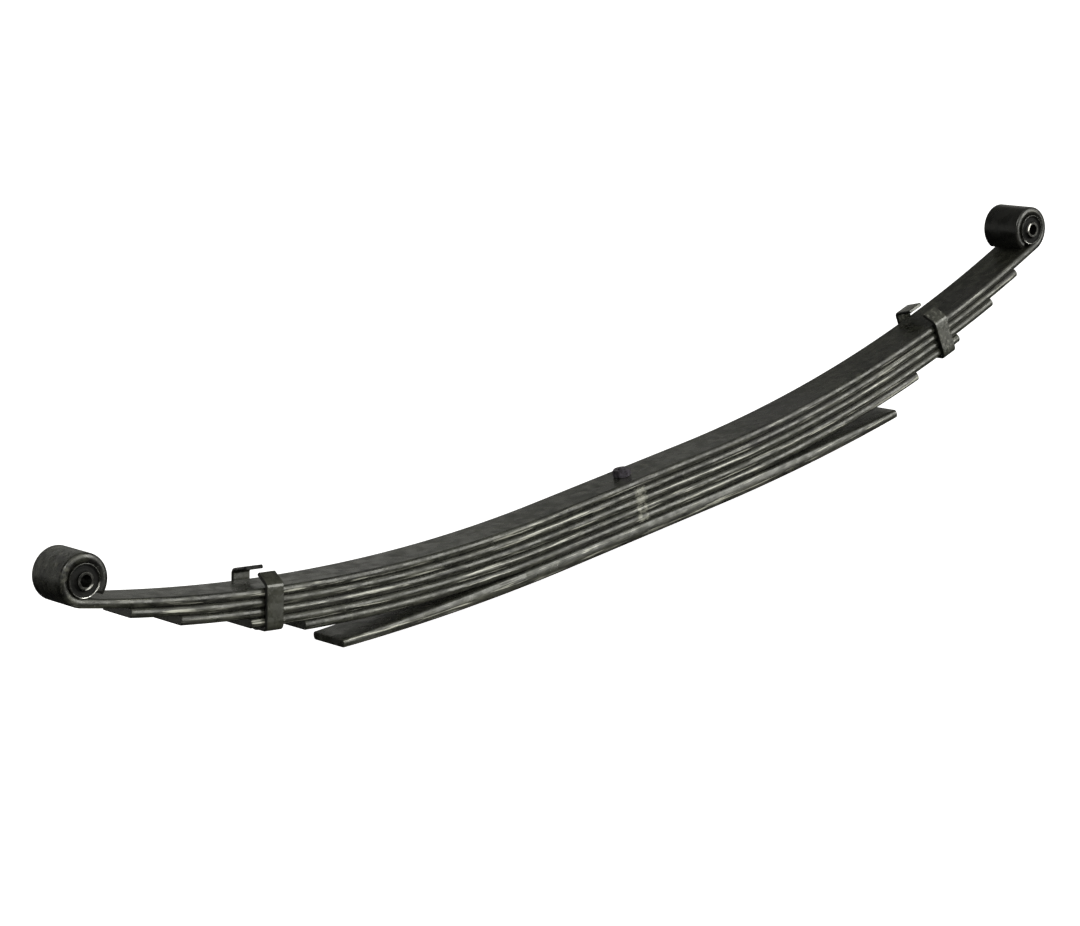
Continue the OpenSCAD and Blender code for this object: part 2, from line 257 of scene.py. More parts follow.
def sweep(name, stations, outline, material, layer=0):
    """stations are (point, way through, way across, along distance, thickness, inset).
    layer shifts the piece's flow, so that its noise differs from its neighbours'."""
    points, flow, faces = [], [], []
    count = 0
    for origin, through, across, along, thickness, inset in stations:
        ring = outline(thickness, inset)
        count = len(ring)
        for a, b in ring:
            points.append(origin + across * a + through * b)
            flow.append((along, a, b + layer))
    for i in range(len(stations) - 1):
        for j in range(count):
            k = (j + 1) % count
            one, two = i * count, (i + 1) * count
            faces.append((one + j, one + k, two + k, two + j))
    last = (len(stations) - 1) * count
    faces.append(tuple(range(count - 1, -1, -1)))
    faces.append(tuple(last + j for j in range(count)))
    return new_piece(name, points, flow, faces, material)


# each leaf's edge: how round it was rolled, and how far the leaf sits to one side
EDGE_LEANS = [34, 40, 36, 42, 33]
SIDE_SHIFTS = [0, -0.35 * MM, 0.2 * MM, -0.5 * MM, 0.3 * MM]


def leaf_outline(leaf):
    lean, shift = math.radians(EDGE_LEANS[leaf]), SIDE_SHIFTS[leaf]

    def outline(thickness, inset):
        section = bar_outline(LEAF_WIDTH, thickness, LEAF_CORNER, lean, inset)
        return [(a + shift, b) for a, b in section]

    return outline


def overload_outline(thickness, inset):
    lean = math.radians(OVERLOAD_LEAN)
    return bar_outline(LEAF_WIDTH, thickness, OVERLOAD_CORNER, lean, inset)


CAP_HOLD = 0.6 * MM  # from an end's rounded rim to the last loop inside its flat


def end_rows(first):
    """(distance before the end, inset) of the stations that round an end off, outside in."""
    rows = END_STATIONS + [(0, END_ROUND + CAP_HOLD)]
    return rows if not first else list(reversed(rows))


def plain_leaf(leaf, material):
    front, rear = -FRONT_TIPS[leaf], REAR_TIPS[leaf]
    spots = [(front + d, inset) for d, inset in end_rows(True)]
    count = int((rear - front) / STATION_SPACING)
    spots += [(s, 0) for s in steps(front + END_ROUND, rear - END_ROUND, count)[1:-1]]
    spots += [(rear - d, inset) for d, inset in end_rows(False)]
    stations = []
    for s, inset in spots:
        point, along, up = signed_frame(s, leaf)
        stations.append((point, up, ACROSS, s, LEAF_THICKNESS, inset))
    return sweep("leaf_%d" % (leaf + 1), stations, leaf_outline(leaf), material, leaf)


def eye_stations(side):
    """Stations round one eye, from the arm to the rolled end."""
    reach = FRONT_EYE_REACH if side < 0 else REAR_EYE_REACH
    point, along, up = signed_frame(side * reach, 0)
    outward = along * side
    centre = point + up * EYE_OUTER
    rows = [(a, 0) for a in steps(0, EYE_WRAP - END_ROUND / EYE_OUTER, EYE_STATIONS)[1:]]
    rows += [(EYE_WRAP - d / EYE_OUTER, inset) for d, inset in end_rows(False)[1:]]
    out = []
    for angle, inset in rows:
        radial = outward * math.sin(angle) - up * math.cos(angle)
        spot = centre + radial * EYE_OUTER
        distance = side * (reach + angle * EYE_OUTER)
        out.append((spot, -radial, ACROSS, distance, LEAF_THICKNESS, inset))
    return out


def main_leaf(material):
    front = list(reversed(eye_stations(-1)))
    middle = []
    count = int((FRONT_EYE_REACH + REAR_EYE_REACH) / STATION_SPACING)
    for s in steps(-FRONT_EYE_REACH, REAR_EYE_REACH, count):
        point, along, up = signed_frame(s, 0)
        middle.append((point, up, ACROSS, s, LEAF_THICKNESS, 0))
    stations = front + middle + eye_stations(1)
    return sweep("leaf_1_main", stations, leaf_outline(0), material)


def overload_faces(x_low, x_high):
    """Heights of the overload leaf's lower face at x_low and of its upper face at x_high."""
    low_past = max(x_low - SEAT_HALF, 0)
    high_past = max(x_high - SEAT_HALF, 0)
    low = OVERLOAD_BOTTOM_RADIUS - math.sqrt(OVERLOAD_BOTTOM_RADIUS**2 - low_past**2)
    high = (
        OVERLOAD_THICKNESS
        + OVERLOAD_TOP_RADIUS
        - math.sqrt(OVERLOAD_TOP_RADIUS**2 - high_past**2)
    )
    return low, high


def overload_tip(side):
    """x of a tip's middle and of its lower and upper corners. It is cut square to the leaf,
    so the lower corner reaches farther out."""
    length = OVERLOAD_REACHES[side] - SEAT_HALF
    slope = length / OVERLOAD_MID_RADIUS
    tip = SEAT_HALF + OVERLOAD_DRAW * length
    low_tip = high_tip = tip
    for _ in range(6):
        low, high = overload_faces(low_tip, high_tip)
        low_tip = tip - (low - OVERLOAD_TIP_Z) * math.tan(slope)
        high_tip = tip - (high - OVERLOAD_TIP_Z) * math.tan(slope)
    return tip, low_tip, high_tip


def overload_leaf(material):
    tips = {side: overload_tip(side) for side in (-1, 1)}

    def station(s, inset):
        side = -1 if s < 0 else 1
        tip, low_tip, high_tip = tips[side]
        share = max(abs(s) - SEAT_HALF, 0) / (tip - SEAT_HALF)
        base = min(abs(s), SEAT_HALF)
        x_low = base + share * (low_tip - SEAT_HALF)
        x_high = base + share * (high_tip - SEAT_HALF)
        low, high = overload_faces(x_low, x_high)
        bottom = Vector((side * x_low, 0, low))
        span = Vector((side * x_high, 0, high)) - bottom
        return (bottom, span.normalized(), ACROSS, s, span.length, inset)

    front, rear = -tips[-1][0], tips[1][0]
    spots = [(front + d, inset) for d, inset in end_rows(True)]
    inner = steps(front + END_ROUND, rear - END_ROUND, OVERLOAD_STATIONS)[1:-1]
    spots += [(s, 0) for s in inner]
    spots += [(rear - d, inset) for d, inset in end_rows(False)]
    stations = [station(s, inset) for s, inset in spots]
    return sweep("leaf_6_overload", stations, overload_outline, material, 5)


def bend_point(inner, level, degrees):
    """A point on a bend of the strap's inner line round (inner, level)."""
    a = math.radians(degrees)
    return (inner + STRAP_BEND * math.cos(a), level + STRAP_BEND * math.sin(a))


def half_strap(rise, slope, tab):
    """Half of the strap's inner line, from its base out to the tab's rounded end, as
    (point in (across, up), way through the strap in degrees, inset)."""
    base = -CLIP_LEAF * PITCH - CLIP_SLACK
    top = LEAF_THICKNESS + rise
    inner = STRAP_INNER - STRAP_BEND
    turn = 90 - slope
    out = [((0.3 * inner, base), -90, 0), ((0.97 * inner, base), -90, 0)]
    for d in steps(-90, 0, BEND_STATIONS):
        out.append((bend_point(inner, base + STRAP_BEND, d), d, 0))
    for z in steps(base + STRAP_BEND, top, BEND_STATIONS)[1:-1]:
        out.append(((STRAP_INNER, z), 0, 0))
    for d in steps(0, turn, BEND_STATIONS):
        out.append((bend_point(inner, top, d), d, 0))
    corner = bend_point(inner, top, turn)
    way = (-math.sin(math.radians(turn)), math.cos(math.radians(turn)))
    reaches = [(tab * share, 0) for share in (0.33, 0.66)]
    reaches += [(tab - before, inset) for before, inset in end_rows(False)]
    for reach, inset in reaches:
        spot = (corner[0] + way[0] * reach, corner[1] + way[1] * reach)
        out.append((spot, turn, inset))
    return out


def strap_outline(thickness, inset):
    lean = math.radians(STRAP_LEAN)
    return bar_outline(STRAP_WIDTH, thickness, STRAP_CORNER, lean, inset)


def strap_path():
    """The strap's inner line from the near tab's end, under the pack, to the far tab's end."""
    near = half_strap(NEAR_RISE, NEAR_SLOPE, NEAR_TAB)
    far = half_strap(FAR_RISE, FAR_SLOPE, FAR_TAB)
    return [((-p[0], p[1]), 180 - d, inset) for p, d, inset in reversed(near)] + far


def strap_length():
    spots = [Vector(p) for p, d, inset in strap_path()]
    return sum((b - a).length for a, b in zip(spots, spots[1:]))


def clip(side, material):
    place = place_at(side * CLIP_REACH)
    rotation = place.to_3x3()
    width_way = rotation @ Vector((-1, 0, 0))
    stations = []
    travelled, before = 0.0, None
    for p, d, inset in strap_path():
        a = math.radians(d)
        origin = place @ Vector((0, p[0], p[1]))
        through = rotation @ Vector((0, math.cos(a), math.sin(a)))
        if before is not None:
            travelled += (Vector(p) - Vector(before)).length
        before = p
        stations.append((origin, through, width_way, travelled, STRAP_THICKNESS, inset))
    return sweep("clip_" + tag_of(side), stations, strap_outline, material, 6 + side)


# ---- turned pieces ----


def filleted(profile, radius, segments=4, hold=0.25 * MM):
    """A closed (radius, height) profile with its corners rounded off. hold is how far past
    a fillet the next loop lies."""
    out = []
    for i, corner in enumerate(profile):
        p = Vector(corner)
        a = (Vector(profile[i - 1]) - p).normalized()
        b = (Vector(profile[(i + 1) % len(profile)]) - p).normalized()
        angle = math.acos(a.dot(b))
        back = radius / math.tan(angle / 2)
        centre = p + (a + b).normalized() * (radius / math.sin(angle / 2))
        start, end = p + a * back, p + b * back
        v0, v1 = start - centre, end - centre
        sweep_angle = v0.angle_signed(v1)
        out.append(tuple(start + a * hold))
        for k in range(segments + 1):
            t = -sweep_angle * k / segments
            c, s = math.cos(t), math.sin(t)
            out.append((centre.x + c * v0.x - s * v0.y, centre.y + s * v0.x + c * v0.y))
        out.append(tuple(end + b * hold))
    return out


def ring_faces(count, segments, closed):
    """Faces between successive rings of points. Closed, the last ring meets the first;
    open, the first and the last are capped."""
    faces = []
    for i in range(count if closed else count - 1):
        one, two = i * segments, (i + 1) % count * segments
        for k in range(segments):
            m = (k + 1) % segments
            faces.append((one + k, one + m, two + m, two + k))
    if not closed:
        faces.append(tuple(range(segments - 1, -1, -1)))
        faces.append(tuple((count - 1) * segments + k for k in range(segments)))
    return faces


def turned(name, profile, material, segments=96, closed=True):
    """Revolves a profile round z. A closed profile makes a ring; an open one is capped at
    both ends."""
    points = []
    for r, z in profile:
        for k in range(segments):
            a = 2 * math.pi * k / segments
            points.append(Vector((r * math.cos(a), r * math.sin(a), z)))
    faces = ring_faces(len(profile), segments, closed)
    return new_piece(name, points, points, faces, material)


def put(obj, matrix):
    """Moves the mesh itself, so that the object keeps an identity matrix."""
    obj.data.transform(matrix)
    obj.data.update()
    return obj


def tube(name, bore, outer, half, material):
    corners = [(bore, -half), (outer, -half), (outer, half), (bore, half)]
    return turned(name, filleted(corners, BUSHING_FILLET), material)


RUBBER_STEPS = 12


def rubber_ring(name, outer, material):
    """The bonded rubber, with both ends dished between its sleeve and its shell."""
    face = []
    for share in steps(0, 1, RUBBER_STEPS):
        sag = RUBBER_DISH * (math.sin(math.pi * share**0.85)) ** 0.8
        sag += 0.4 * RUBBER_DISH * share
        r = RUBBER_BORE + (outer - RUBBER_BORE) * share
        face.append((r, RUBBER_HALF - min(sag, RUBBER_DISH)))
    profile = [(r, -z) for r, z in face] + [(r, z) for r, z in reversed(face)]
    return turned(name, profile, material)


def bushing(side, shell_steel, rubber, sleeve_steel):
    tag = tag_of(side)
    outer = EYE_INNER - BUSHING_FIT
    wall_inner = outer - SHELL_WALL
    shell = tube("bushing_shell_" + tag, wall_inner, outer, SHELL_HALF, shell_steel)
    body = rubber_ring("bushing_rubber_" + tag, wall_inner - BUSHING_FIT, rubber)
    name = "inner_sleeve_" + tag
    sleeve = tube(name, SLEEVE_BORE, SLEEVE_OUTER, SLEEVE_HALF, sleeve_steel)
    half_body = tag + "_half"
    for obj, node, carrier in (
        (shell, tag + "_bushing_shell", half_body),
        (body, tag + "_bushing_rubber", half_body),
        (sleeve, tag + "_inner_sleeve", tag + "_sleeve"),
    ):
        put(obj, eye_matrix(side))
        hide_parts(node)
        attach(obj, carrier)


def ring_of(radius_at, z, segments):
    """One ring of points. radius_at gives the radius at an angle."""
    angles = [2 * math.pi * k / segments for k in range(segments)]
    return [
        Vector((radius_at(a) * math.cos(a), radius_at(a) * math.sin(a), z)) for a in angles
    ]


BOLT_SEGMENTS = 64
THREAD_ROWS = 8  # for each turn of the thread


def centre_bolt(material):
    """The bolt with its head below and a real helical thread at its upper end."""
    bottom, head = HEAD_TOP, HEAD_RADIUS
    under = bottom - HEAD_HEIGHT
    profile = [
        (0.6 * MM, under),
        (head - 1.3 * MM, under),
        (head - 0.9 * MM, under + 0.1 * MM),
        (head - 0.1 * MM, under + 1.0 * MM),
        (head, under + 1.4 * MM),
        (head, bottom - 0.4 * MM),
        (head - 0.4 * MM, bottom),
        (BOLT_RADIUS, bottom),
        (BOLT_RADIUS, bottom + 1 * MM),
        (BOLT_RADIUS, THREAD_START - 1 * MM),
    ]
    points = []
    for r, z in profile:
        points += ring_of(lambda a: r, z, BOLT_SEGMENTS)
    threaded = BOLT_TOP - THREAD_START
    rows = int(threaded / THREAD_PITCH * THREAD_ROWS)
    for i in range(rows + 1):
        z = THREAD_START + threaded * i / rows
        fade = min(1, (z - THREAD_START) / (2 * THREAD_PITCH))
        chamfer = max(0, z - (BOLT_TOP - 1.0 * MM))

        def radius(a):
            turn = (z / THREAD_PITCH - a / (2 * math.pi)) % 1.0
            # 0 on the narrow crest, 1 on the root
            tooth = min(1, max(0, abs(turn - 0.5) * 2.4 - 0.15))
            cut_in = (BOLT_RADIUS - THREAD_ROOT) * tooth * fade
            return min(BOLT_RADIUS - cut_in, BOLT_RADIUS - chamfer)

        points += ring_of(radius, z, BOLT_SEGMENTS)
    faces = ring_faces(len(profile) + rows + 1, BOLT_SEGMENTS, False)
    obj = new_piece("centre_bolt_turned", points, points, faces, material)
    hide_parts("centre_bolt")
    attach(obj, "seat")


NUT_SEGMENTS = 120
NUT_CHAMFER_SLOPE = math.tan(math.radians(32))
NUT_CHAMFER_STEPS = [z * MM for z in (0.0, 0.12, 0.3, 0.5, 0.75, 1.0, 1.3)]
NUT_SHARP = math.radians(32)  # edges between faces steeper than this stay sharp


def hexagon(a):
    """Distance from the nut's axis to its side at an angle."""
    sixth, twelfth = math.radians(60), math.radians(30)
    return NUT_FLAT / math.cos((a + twelfth) % sixth - twelfth)


def centre_nut(material):
    corner = NUT_FLAT / math.cos(math.radians(30))
    limits = [(NUT_FLAT - 0.35 * MM + z / NUT_CHAMFER_SLOPE, z) for z in NUT_CHAMFER_STEPS]
    sides = limits + [(corner, NUT_HEIGHT / 2)]
    sides += [(limit, NUT_HEIGHT - z) for limit, z in reversed(limits)]
    hole = [
        (NUT_BORE + 1.1 * MM, NUT_HEIGHT),
        (NUT_BORE + 0.9 * MM, NUT_HEIGHT - 0.05 * MM),
        (NUT_BORE, NUT_HEIGHT - 0.9 * MM),
        (NUT_BORE, 0.9 * MM),
        (NUT_BORE + 0.9 * MM, 0.05 * MM),
        (NUT_BORE + 1.1 * MM, 0.0),
    ]
    flow = []
    for limit, z in sides + hole:
        flow += ring_of(lambda a: min(hexagon(a), limit), z, NUT_SEGMENTS)
    points = [p + Vector((0, 0, NUT_BASE)) for p in flow]
    faces = ring_faces(len(sides) + len(hole), NUT_SEGMENTS, True)
    obj = new_piece("centre_nut_hex", points, flow, faces, material)
    obj.data.set_sharp_from_angle(angle=NUT_SHARP)
    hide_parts("centre_nut")
    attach(obj, "seat")


DOME_STEPS = 11
DOME_START = 0.4  # the first ring's place, in steps from the dome's pole
DOME_DRAW = 0.985  # the dome's radii over a true ball's, which leaves a narrow rim


def clip_rivet(side, material):
    """A domed head under the strap's base, and a countersunk end in the leaf over it."""
    under = -CLIP_LEAF * PITCH - 2 * CLIP_SLACK - STRAP_THICKNESS
    top = -CLIP_LEAF * PITCH + LEAF_THICKNESS
    profile = []
    ball = (RIVET_HEAD**2 + RIVET_DOME**2) / (2 * RIVET_DOME)
    widest = math.asin(RIVET_HEAD / ball)
    for i in range(DOME_STEPS + 1):
        a = widest * (i + DOME_START) / (DOME_STEPS + DOME_START)
        r = ball * math.sin(a) * DOME_DRAW
        profile.append((r, under - RIVET_DOME + ball * (1 - math.cos(a))))
    profile += [
        (RIVET_HEAD, under - 0.35 * MM),
        (RIVET_HEAD - 0.15 * MM, under - 0.05 * MM),
        (RIVET_HEAD - 0.6 * MM, under),
        (RIVET_RADIUS, under),
        (RIVET_RADIUS, top - 3 * MM),
        (7 * MM, top - 0.1 * MM),
        (6.8 * MM, top),
    ]
    obj = turned("clip_rivet_" + tag_of(side), profile, material, 48, False)
    return put(obj, place_at(side * CLIP_REACH))


def tip_buttons(side, material):
    """The three anti-friction buttons of one end, as one piece."""
    tips = FRONT_TIPS if side < 0 else REAR_TIPS
    disc, stem = BUTTON_DISC, BUTTON_STEM
    made = []
    for leaf in BUTTON_LEAVES:
        face = -leaf * PITCH + LEAF_THICKNESS + 0.05 * MM
        under = face - BUTTON_THICKNESS
        foot = -leaf * PITCH + 0.3 * MM
        profile = [
            (stem - 0.6 * MM, foot),
            (stem - 0.1 * MM, foot + 0.2 * MM),
            (stem, foot + 0.6 * MM),
            (stem, under),
            (disc - 0.4 * MM, under),
            (disc, under + 0.4 * MM),
            (disc, face - 0.4 * MM),
            (disc - 0.15 * MM, face - 0.1 * MM),
            (disc - 0.5 * MM, face),
        ]
        obj = turned("button", profile, material, 48, False)
        made.append(put(obj, place_at(side * (tips[leaf] - BUTTON_INSET))))
    bpy.ops.object.select_all(action="DESELECT")
    for obj in made:
        obj.select_set(True)
    bpy.context.view_layer.objects.active = made[0]
    bpy.ops.object.join()
    whole = bpy.context.view_layer.objects.active
    whole.name = "tip_buttons_" + tag_of(side)
    return whole


# ---- materials ----


class Look:
    """Builds one node material step by step."""

    def __init__(self, name):
        self.material = bpy.data.materials.new(name)
        self.material.use_nodes = True
        self.tree = self.material.node_tree
        self.tree.nodes.clear()
        self.out = self.node("ShaderNodeOutputMaterial")
        self.shader = self.node("ShaderNodeBsdfPrincipled")
        self.join(self.shader.outputs["BSDF"], self.out.inputs["Surface"])
        place = self.node("ShaderNodeAttribute")
        place.attribute_name = "flow"
        self.flow = place.outputs["Vector"]

    def node(self, kind, **settings):
        made = self.tree.nodes.new(kind)
        for key, value in settings.items():
            setattr(made, key, value)
        return made

    def join(self, source, target):
        self.tree.links.new(source, target)

    def feed(self, socket, value):
        if isinstance(value, bpy.types.NodeSocket):
            self.join(value, socket)
        else:
            socket.default_value = value

    def math(self, operation, a, b=0.0):
        made = self.node("ShaderNodeMath", operation=operation)
        self.feed(made.inputs[0], a)
        self.feed(made.inputs[1], b)
        return made.outputs[0]

    def stretched(self, along, across, through):
        made = self.node("ShaderNodeVectorMath", operation="MULTIPLY")
        self.join(self.flow, made.inputs[0])
        made.inputs[1].default_value = (along, across, through)
        return made.outputs[0]

    def noise(self, scale, detail=3.0, rough=0.5, vector=None, distortion=0.0):
        made = self.node("ShaderNodeTexNoise")
        self.join(vector or self.flow, made.inputs["Vector"])
        made.inputs["Scale"].default_value = scale
        made.inputs["Detail"].default_value = detail
        made.inputs["Roughness"].default_value = rough
        made.inputs["Distortion"].default_value = distortion
        return made.outputs["Fac"]

    def range(self, value, low, high, to_low=0.0, to_high=1.0):
        made = self.node("ShaderNodeMapRange")
        made.interpolation_type = "SMOOTHSTEP"
        self.feed(made.inputs["Value"], value)
        made.inputs["From Min"].default_value = low
        made.inputs["From Max"].default_value = high
        made.inputs["To Min"].default_value = to_low
        made.inputs["To Max"].default_value = to_high
        return made.outputs["Result"]

    def mix(self, factor, a, b):
        made = self.node("ShaderNodeMix", data_type="RGBA")
        self.feed(made.inputs[0], factor)
        for socket, value in ((made.inputs[6], a), (made.inputs[7], b)):
            if isinstance(value, tuple):
                socket.default_value = (*value, 1.0)
            else:
                self.join(value, socket)
        return made.outputs[2]

    def bump(self, height, distance, strength=1.0, normal=None):
        made = self.node("ShaderNodeBump")
        made.inputs["Distance"].default_value = distance
        made.inputs["Strength"].default_value = strength
        self.join(height, made.inputs["Height"])
        if normal is not None:
            self.join(normal, made.inputs["Normal"])
        return made.outputs["Normal"]

    def part(self, axis):
        made = self.node("ShaderNodeSeparateXYZ")
        self.join(self.flow, made.inputs[0])
        return made.outputs[axis]

    def finish(self, color, roughness, normal, metallic=0.0):
        self.feed(self.shader.inputs["Base Color"], color)
        self.feed(self.shader.inputs["Roughness"], roughness)
        self.feed(self.shader.inputs["Metallic"], metallic)
        if normal is not None:
            self.join(normal, self.shader.inputs["Normal"])
        return self.material


ENAMEL_DARK = (0.0095, 0.0097, 0.0078)
ENAMEL_LIGHT = (0.033, 0.034, 0.027)
STREAK = (0.058, 0.059, 0.047)
# dust over the leaves, and the colour of the painted glints over the front eye
DUST_AND_GLINT = (0.12, 0.118, 0.096)
DEEP_BLACK = (0.005, 0.005, 0.005)
PURPLE_CAST = (0.03, 0.027, 0.032)
# EDGE_GREY streaks are partly grey scale and partly painted highlight; EDGE_BRIGHT paints
# highlight dashes on the edges, and the rear clip's flecks
EDGE_GREY = (0.13, 0.13, 0.108)
EDGE_BRIGHT = (0.68, 0.68, 0.6)
CHALK = (0.42, 0.42, 0.36)
BARE_STEEL = (0.32, 0.31, 0.29)
# along the main leaf, where the end of the front eye's wrap turns black
WRAP_BLACK_START = -FRONT_EYE_REACH - EYE_OUTER * math.radians(165)
WRAP_BLACK_END = -FRONT_EYE_REACH - EYE_OUTER * math.radians(205)


def shade_painted_edges(look, body, edge):
    """Lighter patches over a clip's flats, and black edges that are painted shade."""
    thin = look.range(look.noise(64, 3, 0.5), 0.38, 0.62, 0.1, 0.6)
    body = look.mix(thin, body, STREAK)
    # painted shade: black along the clip's edges
    return look.mix(look.math("MULTIPLY", edge, 0.85), body, DEEP_BLACK)


def rolled_edges(look, body, edge):
    """Grey streaks along an edge, partly grey scale under thin paint and partly painted
    highlight, and bright dashes that are painted highlights.
    """
    # grey streaks: partly grey scale, partly painted highlight
    scale_and_sheen_streak = look.noise(1, 4, 0.6, look.stretched(26, 260, 260))
    scale_and_sheen = look.math("MULTIPLY", edge, look.range(scale_and_sheen_streak, 0.45, 0.7, 0, 0.75))
    body = look.mix(scale_and_sheen, body, EDGE_GREY)
    # painted highlight: bright dashes along the edge
    glint_streak = look.noise(1, 3, 0.55, look.stretched(12, 330, 330), 0.3)
    painted_glint = look.math("MULTIPLY", edge, look.range(glint_streak, 0.57, 0.68, 0, 0.85))
    return look.mix(painted_glint, body, EDGE_BRIGHT)


def eye_paint(look, body):
    """Darkens the rear eye towards black, lays random black patches and pale specks, which are
    painted glints, over the front eye, and turns the last part of the front eye's wrap black,
    from over its top to its end."""
    rear_dark = look.range(look.part(0), REAR_EYE_REACH - 25 * MM, REAR_EYE_REACH, 0, 0.75)
    body = look.mix(rear_dark, body, DEEP_BLACK)
    wrap = look.range(look.part(0), -FRONT_EYE_REACH - 8 * MM, -FRONT_EYE_REACH - 30 * MM)
    dark_patches = look.range(look.noise(46, 3, 0.55), 0.46, 0.58, 0, 0.85)
    body = look.mix(look.math("MULTIPLY", wrap, dark_patches), body, DEEP_BLACK)
    # painted highlight: pale specks that stand in for glints on the front eye
    glints = look.range(look.noise(82, 4, 0.6), 0.56, 0.68, 0, 0.75)
    body = look.mix(look.math("MULTIPLY", wrap, glints), body, DUST_AND_GLINT)
    wrap_end = look.range(look.part(0), WRAP_BLACK_START, WRAP_BLACK_END, 0, 0.8)
    return look.mix(wrap_end, body, DEEP_BLACK)


def worn_edges(look, body, edge, amount):
    """Paint chipped off in patches where an edge is handled and bumped."""
    chips = look.range(look.noise(330, 4, 0.7), 0.6, 0.68)
    patches = look.range(look.noise(21, 3, 0.5), 0.48, 0.66)
    worn = look.math("MULTIPLY", look.math("MULTIPLY", edge, chips), patches)
    return look.mix(look.math("MULTIPLY", worn, amount), body, BARE_STEEL)


def chalk_mark(look, body, half_width):
    """A ragged pale mark over the near edges of the leaves, beside the centre bolt."""
    near = look.range(look.part(1), -half_width + 4 * MM, -half_width + 3 * MM)
    ragged = look.math("MULTIPLY", look.noise(150, 3, 0.6), 14 * MM)
    place = look.math("ADD", look.part(0), ragged)
    left = look.range(place, -3 * MM, 2 * MM)
    right = look.range(place, 19 * MM, 13 * MM)
    brushed = look.range(look.noise(170, 4, 0.65), 0.38, 0.62, 0.04, 0.7)
    mark = look.math("MULTIPLY", look.math("MULTIPLY", left, right), near)
    return look.mix(look.math("MULTIPLY", mark, brushed), body, CHALK)


def enamel(name, marked, half_width, speckle=0.0, dark_edged=False, black_from=None):
    """Semi-gloss black enamel over shot-peened steel. Along the edges it is thin, with grey
    streaks and bright dashes that are partly painted highlight; on the clips the edges are
    turned black instead, as painted shade.
    black_from is how far along the piece the black, rougher end starts."""
    look = Look(name)
    blotch = look.noise(11, 4, 0.6)
    mottle = look.noise(75, 4, 0.65)
    streak = look.noise(1, 4, 0.6, look.stretched(9, 210, 210))
    body = look.mix(look.range(blotch, 0.33, 0.68), ENAMEL_DARK, ENAMEL_LIGHT)
    body = look.mix(look.range(mottle, 0.44, 0.66, 0, 0.75), body, STREAK)
    body = look.mix(look.range(streak, 0.5, 0.8, 0, 0.6), body, STREAK)
    cast = look.noise(5.5, 2, 0.5)
    body = look.mix(look.range(cast, 0.5, 0.62, 0, 0.35), body, PURPLE_CAST)
    if speckle:
        spots = look.noise(190, 4, 0.65)
        body = look.mix(look.range(spots, 0.5, 0.66, 0, speckle), body, EDGE_BRIGHT)
    dust = look.noise(38, 5, 0.65)
    body = look.mix(look.range(dust, 0.58, 0.8, 0, 0.3), body, DUST_AND_GLINT)
    edge = look.range(
        look.math("ABSOLUTE", look.part(1)), half_width - 1.6 * MM, half_width - 0.3 * MM
    )
    if dark_edged:
        body = shade_painted_edges(look, body, edge)
    else:
        body = rolled_edges(look, body, edge)
    if black_from:
        # the end from black_from on turns black, and below it turns rough
        dark_end = look.range(look.part(0), black_from - 1.5 * MM, black_from, 0, 0.95)
        body = look.mix(dark_end, body, DEEP_BLACK)
    body = eye_paint(look, body)
    body = worn_edges(look, body, edge, 0.25 if dark_edged else 0.7)
    if marked:
        body = chalk_mark(look, body, half_width)
    peel = look.noise(520, 3, 0.5)
    scale = look.noise(110, 4, 0.6)
    wave = look.noise(26, 2, 0.5)
    normal = look.bump(peel, 0.05 * MM, 0.6)
    normal = look.bump(scale, 0.4 * MM, 0.85, normal)
    normal = look.bump(wave, 0.5 * MM, 0.6, normal)
    gloss = look.range(look.noise(60, 4, 0.6), 0.3, 0.7, 0.16, 0.4)
    gloss = look.math("ADD", gloss, look.math("MULTIPLY", edge, 0.1))
    if black_from:
        gloss = look.math("ADD", gloss, look.math("MULTIPLY", dark_end, 0.5))
    return look.finish(body, gloss, normal)


def phosphate(name):
    look = Look(name)
    mottled = look.noise(260, 5, 0.6)
    color = look.mix(look.range(mottled, 0.3, 0.7), (0.04, 0.036, 0.044), (0.15, 0.135, 0.165))
    crystals = look.noise(1400, 3, 0.6)
    normal = look.bump(crystals, 0.03 * MM, 0.5)
    normal = look.bump(mottled, 0.08 * MM, 0.5, normal)
    rough = look.range(mottled, 0.25, 0.75, 0.34, 0.55)
    return look.finish(color, rough, normal, 0.55)


def bright_side(look, toward, near, far):
    """1 on the side of a turned piece that lies toward a direction in its own x and y."""
    x = look.math("MULTIPLY", look.part(0), toward[0])
    y = look.math("MULTIPLY", look.part(1), toward[1])
    return look.range(look.math("ADD", x, y), near, far)


# bare steel on one side of the shell, partly painted highlight where the bright arcs show
SHELL_BARE_SHEEN = (0.85, 0.85, 0.82)
SHELL_PAINT = (0.02, 0.02, 0.017)


def shell_metal(name, toward):
    look = Look(name)
    stain = look.noise(140, 4, 0.6)
    spread = look.range(stain, 0.3, 0.5)
    # partly painted highlight: bare, shiny steel on one side only
    bare_sheen = look.math("MULTIPLY", bright_side(look, toward, 12 * MM, 16 * MM), spread)
    color = look.mix(bare_sheen, SHELL_PAINT, SHELL_BARE_SHEEN)
    lathe = look.noise(1, 3, 0.5, look.stretched(60, 60, 2600))
    normal = look.bump(lathe, 0.02 * MM, 0.6)
    normal = look.bump(stain, 0.06 * MM, 0.4, normal)
    rough = look.range(stain, 0.35, 0.7, 0.16, 0.36)
    metal = look.math("MULTIPLY", bare_sheen, 0.95)
    return look.finish(color, rough, normal, metal)


SLEEVE_DARK = (0.014, 0.014, 0.013)
SLEEVE_LIGHT = (0.055, 0.054, 0.051)
# bare steel on one side of the sleeve, partly painted highlight where the glint shows
SLEEVE_BARE_SHEEN = (0.7, 0.69, 0.66)


